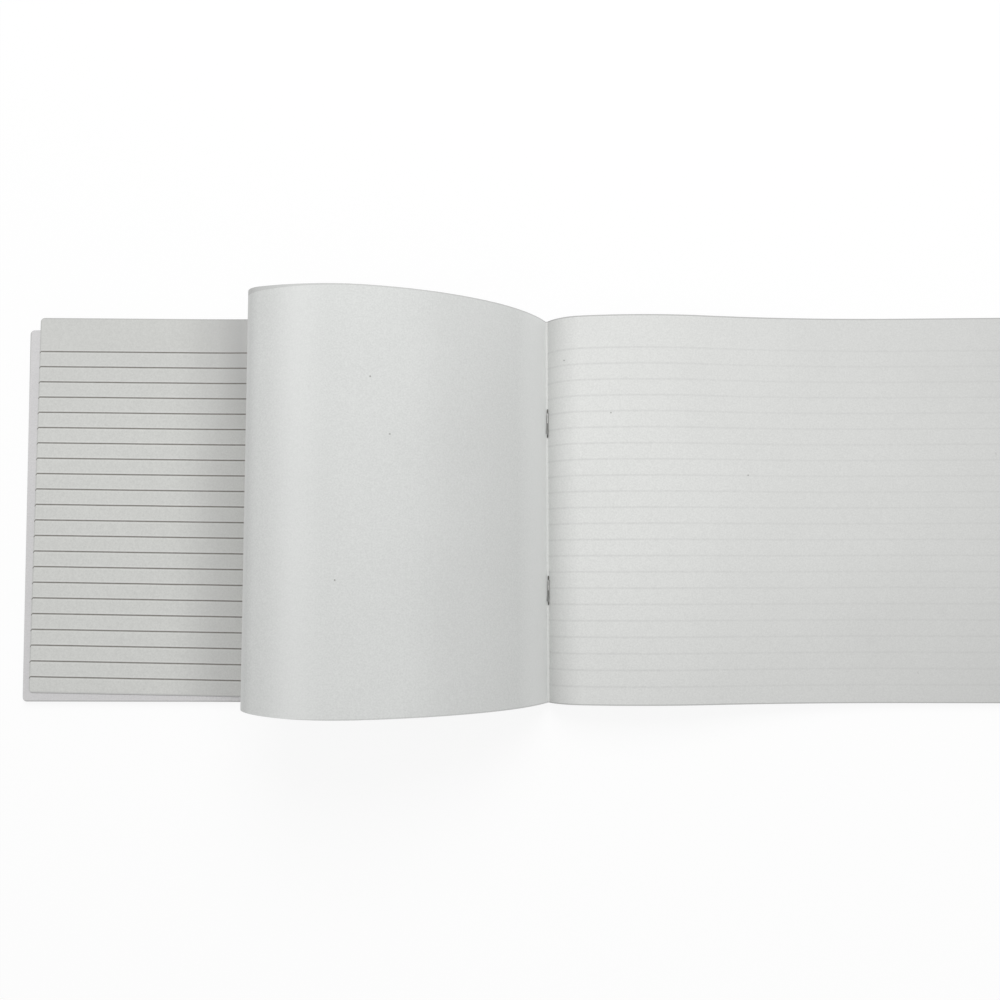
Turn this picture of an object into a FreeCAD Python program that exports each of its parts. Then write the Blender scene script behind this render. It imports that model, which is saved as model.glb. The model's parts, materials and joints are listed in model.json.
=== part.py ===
"""Saddle-stitched notebook lying open at its middle sheet, its left leaf curled over.

Millimetres. +Z is up, +Y points to the head of the pages and the spine runs along Y through x = 0.
The covers lie on z = 0. Both halves leave the fold along one wave: a foot, a shoulder, a crest
and a long sweep down to the flat part. Every layer follows that wave at its own depth.
"""

import FreeCAD
import Part
import Sketcher

import math
import os

SIZES = {
    "page_width": 248.0,
    "page_height": 178.0,
    "block_thickness": 2.4,
    "leaf_thickness": 0.2,
    "leaf_lap": 0.1,
    "cover_thickness": 0.3,
    "cover_clearance": 0.3,
    "hinge_gap": 0.5,
    "fold_lip": 0.3,
    "foot_radius": 1.2,
    "rise_angle": 62.0,
    "shoulder_radius": 20.0,
    "crest_angle": 8.0,
    "crest_radius": 165.0,
    "fall_angle": 12.0,
    "ruled_leaf_setback": 5.0,
    "ruled_leaf_turn": 1.0,
    "ruled_leaf_start": 6.0,
    "curl_foot_radius": 0.8,
    "curl_rise_angle": 70.0,
    "curl_first_radius": 95.0,
    "curl_first_angle": 44.0,
    "curl_second_radius": 120.0,
    "curl_second_angle": 15.0,
    "curl_top_radius": 58.0,
    "curl_drop_angle": 31.0,
    "curl_roll_radius": 17.2,
    "tuck_clearance": 0.3,
    "staple_wire": 0.5,
    "staple_crown": 13.5,
    "staple_bend": 0.6,
    "crown_clearance": 0.1,
    "hole_clearance": 0.1,
    "clinch_lift": 0.3,
    "clinch_tip_gap": 1.6,
    "clinch_tip_length": 0.4,
    "clinch_inner_offset": 0.29,
    "clinch_outer_offset": 0.6,
    "clinch_shift_length": 3.2,
    "upper_staple_offset": 40.4,
    "lower_staple_offset": 37.6,
}

FLAT_TOP = "Sizes.cover_thickness + Sizes.cover_clearance + Sizes.block_thickness"
FOLD_TOP = FLAT_TOP + " + Sizes.staple_wire + Sizes.crown_clearance"
HEAD_OVERHANG = (
    "(Sizes.page_width - Sizes.ruled_leaf_setback) * sin(Sizes.ruled_leaf_turn * 1 deg)"
    " - Sizes.page_height / 2 * (1 - cos(Sizes.ruled_leaf_turn * 1 deg))"
)


def make_sheet(doc):
    """Spreadsheet with one aliased cell for each driving size."""
    sheet = doc.addObject("Spreadsheet::Sheet", "Sizes")
    for row, (alias, number) in enumerate(SIZES.items(), start=1):
        sheet.set("A%d" % row, alias)
        sheet.set("B%d" % row, str(number))
        sheet.setAlias("B%d" % row, alias)
    doc.recompute()
    return sheet


def origin_plane(body, role):
    """Origin plane of a body, found by its role."""
    return next(item for item in body.Origin.OriginFeatures if item.Role == role)


def heading_step(point, radius, start, end):
    """End point and centre of an arc that turns from heading start to heading end (degrees)."""
    turn = 1.0 if end > start else -1.0
    a, b = math.radians(start), math.radians(end)
    centre = (point[0] - turn * radius * math.sin(a), point[1] + turn * radius * math.cos(a))
    far = (centre[0] + turn * radius * math.sin(b), centre[1] - turn * radius * math.cos(b))
    return far, centre


def fold_top(sheet):
    return flat_top(sheet) + sheet.staple_wire + sheet.crown_clearance


def flat_top(sheet):
    return sheet.cover_thickness + sheet.cover_clearance + sheet.block_thickness


def wave_arcs(sheet, depth):
    """Arcs (near point, far point, centre, radius, start, end) of the wave at a depth under the top leaf."""
    bends = [
        (sheet.foot_radius + depth, 0.0, sheet.rise_angle),
        (sheet.shoulder_radius - depth, sheet.rise_angle, sheet.crest_angle),
        (sheet.crest_radius - depth, sheet.crest_angle, -sheet.fall_angle),
    ]
    point = (sheet.fold_lip, fold_top(sheet) - depth)
    arcs = []
    for radius, start, end in bends:
        far, centre = heading_step(point, radius, start, end)
        arcs.append((point, far, centre, radius, start, end))
        point = far
    drop = point[1] - (flat_top(sheet) - depth)
    sweep_radius = drop / (1.0 - math.cos(math.radians(sheet.fall_angle)))
    far, centre = heading_step(point, sweep_radius, -sheet.fall_angle, 0.0)
    arcs.append((point, far, centre, sweep_radius, -sheet.fall_angle, 0.0))
    return arcs


class BandSketch:
    """Closed section between two depths of the wave, drawn and constrained on an XZ plane."""

    def __init__(self, body, sheet, name):
        self.sheet = sheet
        self.sketch = body.newObject("Sketcher::SketchObject", name)
        self.sketch.AttachmentSupport = [(origin_plane(body, "XZ_Plane"), "")]
        self.sketch.MapMode = "FlatFace"

    def line(self, start, end):
        segment = Part.LineSegment(FreeCAD.Vector(*start, 0), FreeCAD.Vector(*end, 0))
        return self.sketch.addGeometry(segment, False)

    def arc(self, centre, radius, start, end):
        """Arc by headings; returns its number, near vertex and far vertex."""
        circle = Part.Circle(FreeCAD.Vector(*centre, 0), FreeCAD.Vector(0, 0, 1), radius)
        if end > start:
            angles = (math.radians(start - 90.0), math.radians(end - 90.0))
            near, far = 1, 2
        else:
            angles = (math.radians(end + 90.0), math.radians(start + 90.0))
            near, far = 2, 1
        return self.sketch.addGeometry(Part.ArcOfCircle(circle, *angles), False), near, far

    def rule(self, *arguments):
        return self.sketch.addConstraint(Sketcher.Constraint(*arguments))

    def bound(self, expression, *arguments):
        """Constraint whose number follows the sheet."""
        number = self.rule(*arguments)
        self.sketch.setExpression("Constraints[%d]" % number, expression)

    def chain(self, far_x, depth):
        """Lip line, four tangent arcs and flat line of the wave at one depth."""
        arcs = wave_arcs(self.sheet, depth)
        first, last = arcs[0][0], arcs[-1][1]
        lip_line = self.line((0.0, first[1]), first)
        numbers = [self.arc(centre, radius, start, end) for _, _, centre, radius, start, end in arcs]
        flat_line = self.line(last, (far_x, last[1]))
        self.rule("Horizontal", lip_line)
        self.rule("Horizontal", flat_line)
        previous, vertex = lip_line, 2
        for number, near, far in numbers:
            self.rule("Tangent", previous, vertex, number, near)
            previous, vertex = number, far
        self.rule("Tangent", previous, vertex, flat_line, 1)
        return lip_line, [number for number, _, _ in numbers], flat_line

    def size_upper_chain(self, chain, depth, depth_text):
        """Radii, turns and levels of the upper chain, bound to the sheet."""
        lip_line, arcs, flat_line = chain
        sizes = self.sheet
        self.bound("Sizes.fold_lip", "DistanceX", -1, 1, lip_line, 2, sizes.fold_lip)
        self.bound(FOLD_TOP + " - (" + depth_text + ")", "DistanceY", -1, 1, lip_line, 2,
                   fold_top(sizes) - depth)
        self.bound("Sizes.foot_radius + " + depth_text, "Radius", arcs[0], sizes.foot_radius + depth)
        self.bound("Sizes.shoulder_radius - (" + depth_text + ")", "Radius", arcs[1],
                   sizes.shoulder_radius - depth)
        self.bound("Sizes.crest_radius - (" + depth_text + ")", "Radius", arcs[2],
                   sizes.crest_radius - depth)
        self.bound("Sizes.rise_angle * 1 deg", "Angle", arcs[0], math.radians(sizes.rise_angle))
        self.bound("(Sizes.rise_angle - Sizes.crest_angle) * 1 deg", "Angle", arcs[1],
                   math.radians(sizes.rise_angle - sizes.crest_angle))
        self.bound("(Sizes.crest_angle + Sizes.fall_angle) * 1 deg", "Angle", arcs[2],
                   math.radians(sizes.crest_angle + sizes.fall_angle))
        self.bound(FLAT_TOP + " - (" + depth_text + ")", "DistanceY", -1, 1, flat_line, 2,
                   flat_top(sizes) - depth)

    def draw(self, far, upper_depth, lower_depth):
        """Section from the fold line to far between two depths; each is a number and its expression."""
        upper = self.chain(far[0], upper_depth[0])
        lower = self.chain(far[0], lower_depth[0])
        self.size_upper_chain(upper, *upper_depth)
        for upper_arc, lower_arc in zip(upper[1], lower[1]):
            self.rule("Coincident", upper_arc, 3, lower_arc, 3)
        top, thickness = flat_top(self.sheet), lower_depth[0] - upper_depth[0]
        fold_edge = self.line((0.0, top), (0.0, top - thickness))
        far_edge = self.line((far[0], top), (far[0], top - thickness))
        self.rule("Coincident", fold_edge, 1, upper[0], 1)
        self.rule("Coincident", fold_edge, 2, lower[0], 1)
        self.rule("Coincident", far_edge, 1, upper[2], 2)
        self.rule("Coincident", far_edge, 2, lower[2], 2)
        self.rule("Vertical", fold_edge)
        self.rule("Vertical", far_edge)
        self.rule("PointOnObject", fold_edge, 1, -2)
        self.bound(far[1], "DistanceX", -1, 1, far_edge, 1, far[0])
        thickness_text = "(" + lower_depth[1] + ") - (" + upper_depth[1] + ")"
        self.bound(thickness_text, "DistanceY", fold_edge, 2, fold_edge, 1, thickness)
        return self.sketch


def pad_band(doc, sheet, name, far, upper_depth, lower_depth, width):
    """Body with one band of the wave, padded evenly to both sides of the spine's middle."""
    body = doc.addObject("PartDesign::Body", name)
    section = BandSketch(body, sheet, name + "_section").draw(far, upper_depth, lower_depth)
    doc.recompute()
    pad = body.newObject("PartDesign::Pad", name + "_pad")
    pad.Profile = section
    pad.SideType = "Symmetric"
    pad.setExpression("Length", width)
    section.Visibility = False
    doc.recompute()
    return body


def make_block(doc, sheet):
    """Both halves of the folded sheets, mirrored about the fold."""
    body = pad_band(
        doc, sheet, "block",
        far=(sheet.page_width, "Sizes.page_width"),
        upper_depth=(0.0, "0"),
        lower_depth=(sheet.block_thickness, "Sizes.block_thickness"),
        width="Sizes.page_height",
    )
    mirrored = body.newObject("PartDesign::Mirrored", "left_half")
    mirrored.Originals = [body.Tip]
    mirrored.MirrorPlane = (origin_plane(body, "YZ_Plane"), [""])
    body.Tip = mirrored
    doc.recompute()
    return body


def make_ruled_leaf(doc, sheet):
    """Left leaf of the second sheet, one leaf above the block and turned a little about the spine."""
    reach = "(Sizes.page_width - Sizes.ruled_leaf_setback)"
    turn = "Sizes.ruled_leaf_turn * 1 deg"
    layer = pad_band(
        doc, sheet, "ruled_leaf_layer",
        far=(sheet.page_width + sheet.page_height, "Sizes.page_width + Sizes.page_height"),
        upper_depth=(-sheet.leaf_thickness, "-Sizes.leaf_thickness"),
        lower_depth=(sheet.leaf_lap, "Sizes.leaf_lap"),
        width="2 * Sizes.page_height",
    )
    outline = doc.addObject("Part::Box", "ruled_leaf_outline")
    outline.setExpression("Length", reach + " - Sizes.ruled_leaf_start")
    outline.setExpression("Width", "Sizes.page_height")
    outline.setExpression("Height", "Sizes.page_height")
    outline.Placement.Rotation = FreeCAD.Rotation(FreeCAD.Vector(0, 0, 1), 1)
    outline.setExpression("Placement.Rotation.Angle", turn)
    outline.setExpression(
        "Placement.Base.x",
        "Sizes.ruled_leaf_start * cos(%s) + Sizes.page_height / 2 * sin(%s)" % (turn, turn))
    outline.setExpression(
        "Placement.Base.y",
        "Sizes.ruled_leaf_start * sin(%s) - Sizes.page_height / 2 * cos(%s)" % (turn, turn))
    trimmed = doc.addObject("Part::Common", "ruled_leaf_trimmed")
    trimmed.Base = layer
    trimmed.Tool = outline
    return mirror_to_left(doc, trimmed, "ruled_leaf")


def mirror_to_left(doc, source, label):
    """Copy of a right-hand shape on the left of the spine."""
    mirrored = doc.addObject("Part::Mirroring", label)
    mirrored.Source = source
    mirrored.Normal = FreeCAD.Vector(1, 0, 0)
    mirrored.Base = FreeCAD.Vector(0, 0, 0)
    mirrored.Label = label
    doc.recompute()
    return mirrored


def wave_height(sheet, depth, x):
    """Height of the wave at a distance x from the fold."""
    for near, far, centre, radius, start, end in wave_arcs(sheet, depth):
        if x <= far[0]:
            rise = math.sqrt(max(radius ** 2 - (x - centre[0]) ** 2, 0.0))
            return centre[1] - rise if end > start else centre[1] + rise
    return flat_top(sheet) - depth


def curl_bends(sheet, tuck_heading, depth):
    """Radius, start heading and end heading of each bend of the curled leaf."""
    return [
        (sheet.curl_foot_radius + depth, 0.0, sheet.curl_rise_angle),
        (sheet.curl_first_radius - depth, sheet.curl_rise_angle, sheet.curl_first_angle),
        (sheet.curl_second_radius - depth, sheet.curl_first_angle, sheet.curl_second_angle),
        (sheet.curl_top_radius - depth, sheet.curl_second_angle, -sheet.curl_drop_angle),
        (sheet.curl_roll_radius - depth, -sheet.curl_drop_angle, tuck_heading),
    ]


def curl_tail(sheet, tuck_heading):
    """Straight length left over at the tucked end of the leaf."""
    used = sheet.fold_lip
    for radius, start, end in curl_bends(sheet, tuck_heading, 0.0):
        used += radius * math.radians(abs(end - start))
    return sheet.page_width - used


def curl_points(sheet, tuck_heading, depth):
    """Corner points along one face of the curled leaf and the middle point of each bend."""
    point = (sheet.fold_lip, fold_top(sheet) - depth)
    corners, middles = [(0.0, point[1]), point], []
    for radius, start, end in curl_bends(sheet, tuck_heading, depth):
        middles.append(heading_step(point, radius, start, (start + end) / 2.0)[0])
        point = heading_step(point, radius, start, end)[0]
        corners.append(point)
    tail = curl_tail(sheet, tuck_heading)
    heading = math.radians(tuck_heading)
    corners.append((point[0] + tail * math.cos(heading), point[1] + tail * math.sin(heading)))
    return corners, middles


def find_tuck_heading(sheet):
    """Heading of the tucked end that brings its edge down onto the ruled leaf."""
    steep, level = -120.0, -179.0
    for _ in range(60):
        heading = (steep + level) / 2.0
        edge_x, edge_z = curl_points(sheet, heading, 0.0)[0][-1]
        floor = wave_height(sheet, -sheet.leaf_thickness, edge_x) + sheet.tuck_clearance
        if edge_z < floor:
            steep = heading
        else:
            level = heading
    return (steep + level) / 2.0


def curl_edges(corners, middles, width):
    """Edges along one face of the leaf, drawn on its tail-side end."""
    vectors = [FreeCAD.Vector(-x, -width / 2.0, z) for x, z in corners]
    bends = [FreeCAD.Vector(-x, -width / 2.0, z) for x, z in middles]
    edges = [Part.makeLine(vectors[0], vectors[1])]
    for index, middle in enumerate(bends, start=1):
        edges.append(Part.Arc(vectors[index], middle, vectors[index + 1]).toShape())
    edges.append(Part.makeLine(vectors[-2], vectors[-1]))
    return edges, vectors[0], vectors[-1]


def make_curled_leaf(doc, sheet):
    """Left leaf of the middle sheet: one arch whose free edge is tucked back under it."""
    heading = find_tuck_heading(sheet)
    outer, outer_start, outer_end = curl_edges(*curl_points(sheet, heading, 0.0), sheet.page_height)
    inner, inner_start, inner_end = curl_edges(
        *curl_points(sheet, heading, sheet.leaf_thickness), sheet.page_height)
    ends = [Part.makeLine(outer_start, inner_start), Part.makeLine(outer_end, inner_end)]
    outline = Part.Wire(Part.__sortEdges__(outer + inner + ends))
    leaf = doc.addObject("Part::Feature", "curled_leaf")
    leaf.Shape = Part.Face(outline).extrude(FreeCAD.Vector(0, sheet.page_height, 0))
    return leaf


def make_leg_holes(doc):
    """Four holes through the folded sheets, one for each staple leg."""
    holes = []
    for name, side in (("upper", "Sizes.upper_staple_offset"), ("lower", "-Sizes.lower_staple_offset")):
        for end, sign in (("head", "+"), ("tail", "-")):
            hole = doc.addObject("Part::Cylinder", "%s_%s_hole" % (name, end))
            hole.setExpression("Radius", "Sizes.staple_wire / 2 + Sizes.hole_clearance")
            hole.setExpression("Height", "2 * (%s)" % FOLD_TOP)
            hole.setExpression(
                "Placement.Base.y", "%s %s (Sizes.staple_crown - Sizes.staple_wire) / 2" % (side, sign))
            holes.append(hole)
    tools = doc.addObject("Part::MultiFuse", "leg_holes")
    tools.Shapes = holes
    return tools


def make_pages(doc, sheet):
    """All folded sheets as one solid, pierced for the staples."""
    stack = doc.addObject("Part::MultiFuse", "folded_sheets")
    stack.Shapes = [make_block(doc, sheet), make_ruled_leaf(doc, sheet), make_curled_leaf(doc, sheet)]
    pages = doc.addObject("Part::Cut", "pages")
    pages.Base = stack
    pages.Tool = make_leg_holes(doc)
    pages.setExpression("Placement.Base.y", "-(%s) / 2" % HEAD_OVERHANG)
    doc.recompute()
    return pages


def make_crease_gap(doc):
    """Space beside the fold line that both covers leave free for the staples."""
    gap = doc.addObject("Part::Box", "crease_gap")
    gap.setExpression("Length", "2 * Sizes.hinge_gap")
    gap.setExpression("Width", "2 * Sizes.page_height")
    gap.setExpression("Height", "2 * (%s)" % FOLD_TOP)
    gap.setExpression("Placement.Base.x", "-Sizes.hinge_gap")
    gap.setExpression("Placement.Base.y", "-Sizes.page_height")
    return gap


def make_covers(doc, sheet):
    """Card cover: its right half under the right-hand pages and its mirror image on the left."""
    depth = sheet.block_thickness + sheet.cover_clearance
    depth_text = "Sizes.block_thickness + Sizes.cover_clearance"
    band = pad_band(
        doc, sheet, "cover_band",
        far=(sheet.page_width, "Sizes.page_width"),
        upper_depth=(depth, depth_text),
        lower_depth=(depth + sheet.cover_thickness, depth_text + " + Sizes.cover_thickness"),
        width="Sizes.page_height",
    )
    back = doc.addObject("Part::Cut", "back_cover")
    back.Base = band
    back.Tool = make_crease_gap(doc)
    back.setExpression("Placement.Base.y", "-(%s) / 2" % HEAD_OVERHANG)
    doc.recompute()
    return back, mirror_to_left(doc, back, "front_cover")


class WirePath:
    """Path of straight runs and round bends, each tangent to the one before."""

    def __init__(self, start, forward):
        self.point = start
        self.forward = forward
        self.edges = []

    def run(self, length):
        end = self.point + self.forward * length
        self.edges.append(Part.makeLine(self.point, end))
        self.point = end

    def bend(self, toward, radius, angle):
        """Turn from the forward direction toward another one."""
        side = toward - self.forward * toward.dot(self.forward)
        side.normalize()
        middle, end = [
            self.point + self.forward * (radius * math.sin(part)) + side * (radius * (1 - math.cos(part)))
            for part in (math.radians(angle) / 2.0, math.radians(angle))
        ]
        self.edges.append(Part.Arc(self.point, middle, end).toShape())
        self.point = end
        turn = math.radians(angle)
        self.forward = self.forward * math.cos(turn) + side * math.sin(turn)

    def shift(self, toward, offset, length):
        """Move sideways through two equal bends and carry on in the same direction."""
        angle = 2.0 * math.atan2(offset, length)
        radius = length / (2.0 * math.sin(angle))
        self.bend(toward, radius, math.degrees(angle))
        self.bend(toward * -1.0, radius, math.degrees(angle))


def half_staple(sheet):
    """Half the crown, one leg up through the fold and its clinched end along the fold."""
    up, across, along = FreeCAD.Vector(0, 0, 1), FreeCAD.Vector(-1, 0, 0), FreeCAD.Vector(0, 1, 0)
    crown_height = sheet.staple_wire / 2.0
    clinch_height = fold_top(sheet) + sheet.clinch_lift + sheet.staple_wire / 2.0
    half_span = (sheet.staple_crown - sheet.staple_wire) / 2.0
    path = WirePath(FreeCAD.Vector(0, 0, crown_height), along)
    path.run(half_span - sheet.staple_bend)
    path.bend(up, sheet.staple_bend, 90.0)
    path.run(clinch_height - crown_height - 2.0 * sheet.staple_bend)
    path.bend(along * -1.0, sheet.staple_bend, 90.0)
    path.shift(across, sheet.clinch_inner_offset, sheet.clinch_shift_length)
    reach = 2.0 * half_span - sheet.staple_bend - sheet.clinch_tip_gap
    tip = sheet.clinch_tip_length
    path.run(reach - 2.0 * sheet.clinch_shift_length - tip)
    path.shift(across, sheet.clinch_outer_offset - sheet.clinch_inner_offset, sheet.clinch_shift_length)
    path.run(tip)
    section = Part.Wire(Part.makeCircle(sheet.staple_wire / 2.0, FreeCAD.Vector(0, 0, crown_height), along))
    return Part.Wire(path.edges).makePipeShell([section], True, False)


def make_staple(doc, sheet, label, offset):
    """Whole staple: two equal halves turned half round about each other."""
    half = half_staple(sheet)
    other = half.copy()
    other.rotate(FreeCAD.Vector(0, 0, 0), FreeCAD.Vector(0, 0, 1), 180.0)
    staple = doc.addObject("Part::Feature", label)
    staple.Shape = half.fuse(other).removeSplitter()
    staple.setExpression("Placement.Base.y", "%s - (%s) / 2" % (offset, HEAD_OVERHANG))
    staple.Label = label
    return staple


def check_document(doc, sub_parts):
    """Stop if an object failed or a sub-part is empty or not valid."""
    for item in doc.Objects:
        if {"Invalid", "Error"} & set(item.State):
            raise RuntimeError("%s failed: %s" % (item.Label, item.State))
    for item in sub_parts:
        if item.Shape.isNull() or not item.Shape.isValid() or len(item.Shape.Solids) != 1:
            raise RuntimeError("%s has no single valid solid" % item.Label)


def main():
    os.makedirs("parts", exist_ok=True)
    doc = FreeCAD.newDocument("open_notebook")
    sheet = make_sheet(doc)
    pages = make_pages(doc, sheet)
    back_cover, front_cover = make_covers(doc, sheet)
    sub_parts = [
        pages,
        back_cover,
        front_cover,
        make_staple(doc, sheet, "upper_staple", "Sizes.upper_staple_offset"),
        make_staple(doc, sheet, "lower_staple", "-Sizes.lower_staple_offset"),
    ]
    doc.recompute()
    check_document(doc, sub_parts)
    for item in sub_parts:
        item.Shape.exportStep("parts/%s.step" % item.Label)
        box = item.Shape.BoundBox
        print("%-13s volume %9.1f  x %8.2f %8.2f  y %8.2f %8.2f  z %6.2f %6.2f" % (
            item.Label, item.Shape.Volume, box.XMin, box.XMax, box.YMin, box.YMax, box.ZMin, box.ZMax))


main()
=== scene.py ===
"""Open stapled notebook: leaves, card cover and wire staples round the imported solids."""

import json
import math
import random

import bmesh
import bpy
from mathutils import Matrix, Vector


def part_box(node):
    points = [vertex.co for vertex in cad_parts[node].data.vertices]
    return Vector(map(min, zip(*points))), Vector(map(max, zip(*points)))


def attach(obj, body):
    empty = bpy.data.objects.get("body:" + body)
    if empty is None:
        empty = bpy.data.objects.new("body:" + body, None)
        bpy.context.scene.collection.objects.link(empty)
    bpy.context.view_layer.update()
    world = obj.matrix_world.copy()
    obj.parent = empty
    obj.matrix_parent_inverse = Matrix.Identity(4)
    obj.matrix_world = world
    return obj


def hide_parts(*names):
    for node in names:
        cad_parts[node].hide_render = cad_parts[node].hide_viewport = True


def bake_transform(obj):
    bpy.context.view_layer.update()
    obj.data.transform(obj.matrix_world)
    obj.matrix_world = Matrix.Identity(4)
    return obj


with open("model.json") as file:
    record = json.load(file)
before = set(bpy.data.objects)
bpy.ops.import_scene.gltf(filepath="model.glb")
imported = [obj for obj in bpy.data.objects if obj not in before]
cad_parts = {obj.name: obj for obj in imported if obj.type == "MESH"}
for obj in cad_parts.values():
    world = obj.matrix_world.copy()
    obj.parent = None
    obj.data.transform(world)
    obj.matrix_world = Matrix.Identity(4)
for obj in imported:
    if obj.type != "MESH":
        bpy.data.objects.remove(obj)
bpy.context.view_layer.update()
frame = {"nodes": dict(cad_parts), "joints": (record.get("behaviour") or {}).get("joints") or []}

bl_info = {
    "name": "Open Stapled Notebook",
    "version": (1, 0, 0),
    "blender": (4, 5, 0),
    "location": "3D View > Sidebar > Notebook",
    "description": "Ruled paper, card covers and wire staples of a notebook lying open",
    "category": "Add Mesh",
}

MM = 0.001
SPINE_Y = frame["joints"][0]["pos_m"][1]
PAGE_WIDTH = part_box("pages")[1].x
TAIL_Y, HEAD_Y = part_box("back_cover")[0].y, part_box("back_cover")[1].y
PAGE_HEIGHT = HEAD_Y - TAIL_Y
CREASE_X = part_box("back_cover")[0].x
SAME_PLACE = 1e-7
EDGE_ANGLE = math.radians(35.0)
# EDGE_LINE and EDGE_SHADE: width and strength of the painted shade line along the leaves' edges.
EDGE_LINE = 0.55 * MM
EDGE_SHADE = 0.7
CARD_EDGE = 0.7 * MM
PAPER_ROUGHNESS = 0.9
PAPER_BUMP = 0.05 * MM
CARD_BUMP = 0.04 * MM
LEFT_SEED, RIGHT_SEED = 11, 23
ROLL_REACH = 130.0 * MM
DRIFT_START = 0.46

# Input and output sockets of a mix node that mixes colours.
MIX_FACTOR, MIX_FIRST, MIX_SECOND, MIX_RESULT = 0, 6, 7, 2

# Widths and softness of the printed lines, of their light rims and of what shows through.
LINE_SOFTNESS = 0.12 * MM
LINE_WAVER = 0.1 * MM
RIM_OFFSET = 0.75 * MM
RIM_SHAPE = (0.5 * MM, 0.3 * MM)
BACK_LINE_SHAPE = (0.8 * MM, 0.35 * MM)
BACK_LINE_WAVER = 0.6 * MM

# Noise scales, in waves per metre.
GRAIN, MOTTLE, CLOUD = 1400.0, 520.0, 22.0
FLECKS, FLECK_GROUPS = 240.0, 31.0
CARD_GRAIN, CARD_CLOUD, CARD_SCUFFS = 700.0, 35.0, 260.0
WIRE_SCRATCHES = 2600.0
INK, BACK_INK = 700.0, 330.0
LINE_WAVES, BACK_LINE_WAVES = 60.0, 9.0

# Noise levels between which a pattern comes.
MOTTLE_LEVELS = (0.36, 0.64)
FLECK_LEVELS = (0.795, 0.83)
FLECK_GROUP_LEVELS = (0.5, 0.6)
BACK_INK_LEVELS = (0.25, 0.65)
CARD_LEVELS = (0.35, 0.65)
SCUFF_LEVELS = (0.45, 0.6)

# Grey towards which painted shade, smudges and show-through lines take the paper.
GREY = (0.40, 0.40, 0.395)
# Colour of the painted light on the curled leaf.
PAINTED_LIGHT = (0.80, 0.81, 0.80)
LINE_RIM = (0.80, 0.80, 0.78)
FLECK = (0.42, 0.41, 0.39)
SPECK = (0.15, 0.145, 0.13)
SCUFF = (0.78, 0.78, 0.76)
# Colour of the painted reflection on the staple wire.
MIRRORED = (0.95, 0.95, 0.94)

# Distances between which a mark comes or goes, and its full amount: painted shade and painted light
# first, then smudges, specks and the fading of the show-through lines.
FORE_EDGE_SHADE = (30.0 * MM, PAGE_WIDTH, 0.33)
TAIL_SHADE = (60.0 * MM, 200.0 * MM, 0.05)
SIDE_SHADE = (20.0 * MM, 90.0 * MM, 0.10)
GUTTER_SHADE = (3.0 * MM, 14.0 * MM, 0.2)
CURL_BACKING_LIGHT = (2.0 * MM, 14.0 * MM, 0.85)
CURL_FOLD = (0.1 * MM, 0.9 * MM, 1.0)
CURL_RIM_LIGHT = (ROLL_REACH - 3.8 * MM, ROLL_REACH - 0.8 * MM, 0.95)
RULED_TOP_SHADE = (15.0 * MM, 60.0 * MM, 0.14)
RULED_CORNER_ACROSS = (146.0 * MM, 157.0 * MM, 1.0)
RULED_CORNER_DOWN = (22.0 * MM, 62.0 * MM, 0.5)
SMUDGE_FADE = (1.4 * MM, 3.2 * MM, 0.07)
SPECK_FADE = (0.15 * MM, 0.5 * MM, 0.7)
LINE_FADE = (20.0 * MM, 90.0 * MM, 0.6)

# Bands: near side, far side, softness of both sides, full amount.
# Painted shade on the curl's lower slope, painted light along its top, painted shadow of the curl
# beside it on the ruled leaf.
CURL_LOW_BAND = (15.0 * MM, 50.0 * MM, 10.0 * MM, 0.12)
CURL_TOP_BAND = (97.0 * MM, 112.0 * MM, 8.0 * MM, 0.35)
BESIDE_CURL_BAND = (145.0 * MM, 167.0 * MM, 12.0 * MM, 0.36)

# FOLD_SHADE and RULED_EDGE_SHADE are painted shade: in the curled leaf's fold and along the ruled
# leaf's edges.
FOLD_SHADE = 0.3
RULED_EDGE_SHADE = 0.38
RIM_LIGHT = 0.22

# Places of small marks: across the spine, along the spine.
RIGHT_SMUDGES = ((147.5 * MM, -63.2 * MM), (180.6 * MM, -50.0 * MM))
RULED_SMUDGE = (-200.5 * MM, -63.2 * MM)
CURL_SPECKS = ((-73.7 * MM, 48.5 * MM), (-65.8 * MM, 24.9 * MM), (-87.0 * MM, -35.1 * MM))
RIGHT_SPECKS = ((28.8 * MM, 41.3 * MM), (7.7 * MM, 66.5 * MM), (91.9 * MM, 12.9 * MM))

LAMP_PLACE = (0.06, 0.72, 0.88)
LAMP_AIM = Vector((0.0, 0.0, 0.0))
FLOOR_HALF = 3.0
FLOOR_GLOW = 0.9
IMAGE_WIDTH = 1000.0
SENSOR = 36.0
CAMERA = {
    "x": -0.00697,
    "y": -0.03508 + SPINE_Y,
    "focal_px": 1066.3,
    "tilt_x": math.radians(-4.558),
    "tilt_y": math.radians(-1.778),
    "roll": math.radians(0.094),
}


def length_property(name, description, default, low=0.0, high=1.0):
    """A length in the scene's units."""
    return bpy.props.FloatProperty(
        name=name, description=description, default=default, min=low, max=high,
        precision=5, unit="LENGTH", subtype="DISTANCE")


def angle_property(name, description, degrees):
    """An angle given in degrees."""
    return bpy.props.FloatProperty(
        name=name, description=description, default=math.radians(degrees),
        min=-math.pi, max=math.pi, unit="ROTATION", subtype="ANGLE")


def colour_property(name, description, default):
    return bpy.props.FloatVectorProperty(
        name=name, description=description, subtype="COLOR", size=3,
        default=default, min=0.0, max=1.0)


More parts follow.
